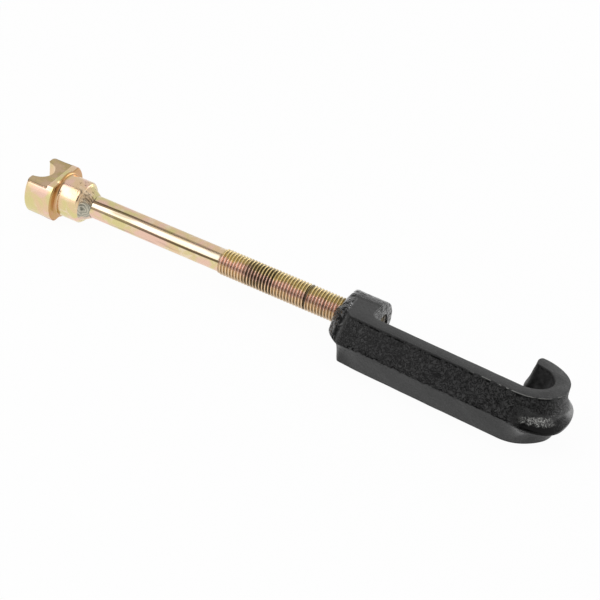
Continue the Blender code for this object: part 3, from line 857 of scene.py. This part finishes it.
def bead_rows(steps=300, across=40):
    """Rows round the rod: a slope from collar to shank, plus ripples round the crater, less its pit."""
    a = np.linspace(0.0, 2.0 * math.pi, steps, endpoint=False)[None, :]
    t = np.linspace(0.0, 1.0, across)[:, None]
    wander = 0.25 * np.sin(3.0 * a + 1.0) + 0.2 * np.sin(7.0 * a) - 0.3
    along = BEAD_START + (BEAD_LENGTH + wander) * t
    slope = BEAD_TOP + (BEAD_TOE - BEAD_TOP) * t**0.7
    apart = (a - CRATER_ANGLE + math.pi) % (2.0 * math.pi) - math.pi
    away = np.hypot(9.0 * apart, 1.2 * BEAD_LENGTH * (t - CRATER_SHARE))
    fresh = np.exp(-((apart / 0.65) ** 4))
    ripple = (0.05 + 0.15 * fresh) * np.cos(2.0 * math.pi * (away - 0.2) / RIPPLE_LENGTH)
    pit = 0.45 * np.exp(-((away / 0.7) ** 2))
    r = slope + (0.15 + ripple - pit) * np.sin(math.pi * t) ** 0.7
    rows = np.stack([along + 0.0 * a, r * np.cos(a), r * np.sin(a)], axis=2)
    ends = rows[[0, -1]] * (1.0, 0.0, 0.0)
    ends[1, :, 0] = COLLAR_END + BEAD_LENGTH - 1.2
    return np.concatenate([ends[:1], rows, ends[1:]])


RIPPLE_DARK = (0.33, 0.32, 0.26, 1.0)
RIPPLE_PALE = (0.54, 0.51, 0.41, 1.0)
CRATER_BLACK = (0.07, 0.07, 0.05, 1.0)
SCUFF_BROWN = (0.16, 0.11, 0.06, 1.0)
SEAM_BROWN = (0.14, 0.11, 0.07, 1.0)
CRATER_RADIUS = 9.6
RING_WIDTH = 1.9

bead = bead_rows()
weld_bead = new_piece("weld_ripples", bead, ring_faces(*bead.shape[:2]))
merged(weld_bead, 60.0)
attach(weld_bead, "carrier")
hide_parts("weld_bead")
shader, at = finish_of(weld_bead, "plated_weld", Metallic=1.0)
x, y, z = from_entry(at)
spoke = round_axis(y, z)[1]
crater_side = spoke.facing((0.0, math.cos(CRATER_ANGLE + 0.12), math.sin(CRATER_ANGLE + 0.12)))
crater_place = (
    BEAD_START + CRATER_SHARE * BEAD_LENGTH,
    CRATER_RADIUS * math.cos(CRATER_ANGLE),
    CRATER_RADIUS * math.sin(CRATER_ANGLE),
)
scale = at.noise(1.2, 3.0, 0.6)
bare = (crater_side + (at.noise(3.0) - 0.5) * 0.6).between(0.64, 0.90)
bare = bare.most(at.noise(3.5, 3.0, 0.6).between(0.60, 0.68) * 0.6)
seam = x.between(COLLAR_END + 5.8, COLLAR_END + 6.5)
away = x.node("CombineXYZ", X=x, Y=y, Z=z).distance(crater_place) + (at.noise(2.4) - 0.5) * 4.0
rings = away.maths("COSINE", away * (2.0 * math.pi / RING_WIDTH), 0.0).between(-1.0, 0.6)
eye = away.within(-1.0, 0.5, 0.5) * 0.85
scuffed = at.noise(1.6, 3.0, 0.7).between(0.56, 0.62) * z.between(2.0, 5.0)
plated = bare.tint(zinc_colour(at), rings.tint(RIPPLE_DARK, RIPPLE_PALE))
plated = eye.tint(plated, CRATER_BLACK)
plated = (scuffed * 0.6).tint(plated, SCUFF_BROWN)
link(
    shader,
    Base_Color=(seam * 0.7).tint(plated, SEAM_BROWN),
    Roughness=0.16 + 0.16 * scale + 0.08 * bare,
    Normal=scale.bump(0.2, 0.3),
)

# Floor, light and camera
# The tool lies on a pale studio floor between soft boxes. The camera stands high on the tool's front right,
# rolled so that the screw runs down across the picture, and the dark of the room is behind it.

FLOOR_HALF = 9.0  # in metres, as are the lamps' sizes and the places of lamps and camera
FLOOR_SIDES = ((-1.0, -1.0), (1.0, -1.0), (1.0, 1.0), (-1.0, 1.0))
PAPER_GREY = (0.88, 0.88, 0.88, 1.0)
WHITE = (1.0, 1.0, 1.0, 1.0)
PAPER_WHITE = 0.96  # share of plain white in what the camera and reflections see of the floor

ground = bpy.data.meshes.new("studio_floor")
ground.from_pydata([(FLOOR_HALF * u, FLOOR_HALF * v, 0.0) for u, v in FLOOR_SIDES], [], [(0, 1, 2, 3)])
floor = bpy.data.objects.new("studio_floor", ground)
bpy.context.collection.objects.link(floor)
shader, at = finish_of(floor, "studio_paper", Roughness=0.9, Base_Color=PAPER_GREY)
rays = at.node("LightPath").socket.node.outputs
seen = Wire(rays["Is Camera Ray"]) + Wire(rays["Is Glossy Ray"]) + Wire(rays["Is Transmission Ray"])
white = at.node("Emission", Color=WHITE, Strength=1.0)
paper = at.node("MixShader", i0=seen * PAPER_WHITE, i1=Wire(shader.outputs[0]), i2=white)
shader.id_data.links.new(paper.socket, shader.id_data.nodes["Material Output"].inputs["Surface"])

CAMERA_SIDE = (0.27, -0.84, 0.47)
ROOM_LEVEL = 0.80
PANEL_EXTRA = 0.40
DARK_LOSS = 0.68

world = bpy.data.worlds.new("studio")
bpy.context.scene.world = world
world.use_nodes = True
sky = world.node_tree.nodes["Background"]
towards = Wire(world.node_tree.nodes.new("ShaderNodeTexCoord").outputs["Generated"])
x, y, z = towards.parts()
overhead_gap = (1.0 - abs(y * 0.973 + z * 0.230).between(0.06, 0.16)) * z.between(0.50, 0.60) * 0.85
low_panel = (1.0 - y.between(-0.75, -0.60)) * (1.0 - z.between(0.22, 0.32))
dark = towards.facing(CAMERA_SIDE).between(0.80, 0.92).most(overhead_gap)
room = ROOM_LEVEL + PANEL_EXTRA * low_panel - DARK_LOSS * dark
world.node_tree.links.new(room.socket, sky.inputs["Color"])


def soft_box(name, side, away, size, level):
    """A lamp that faces the tool from a side, as bright to look at as a level, where 1 is white."""
    lamp = bpy.data.lights.new(name, "AREA")
    lamp.shape = "RECTANGLE"
    lamp.size, lamp.size_y = size
    lamp.energy = level * math.pi * size[0] * size[1]
    made = bpy.data.objects.new(name, lamp)
    bpy.context.collection.objects.link(made)
    made.location = Vector(side).normalized() * away
    made.rotation_euler = Vector(side).to_track_quat("Z", "Y").to_euler()


soft_box("front_left_box", side=(-0.58, -0.56, 0.60), away=1.1, size=(1.0, 0.9), level=1.4)
soft_box("right_back_box", side=(0.44, 0.87, 0.17), away=1.1, size=(0.75, 0.34), level=2.8)

CAMERA_PLACE = Vector((0.24103, -0.76259, 0.44028))  # from the entry
CAMERA_TURN = math.radians(19.35)
CAMERA_TILT = math.radians(90.0 - 28.797)
CAMERA_ROLL = math.radians(13.466)

lens = bpy.data.cameras.new("photo_lens")
lens.lens = 96.0
lens.sensor_width = 36.0
camera = bpy.data.objects.new("photo_camera", lens)
bpy.context.collection.objects.link(camera)
camera.matrix_world = (
    Matrix.Translation(Vector(entry) + CAMERA_PLACE)
    @ Matrix.Rotation(CAMERA_TURN, 4, "Z")
    @ Matrix.Rotation(CAMERA_TILT, 4, "X")
    @ Matrix.Rotation(CAMERA_ROLL, 4, "Z")
)
bpy.context.scene.camera = camera
bpy.context.scene.view_settings.view_transform = "Standard"
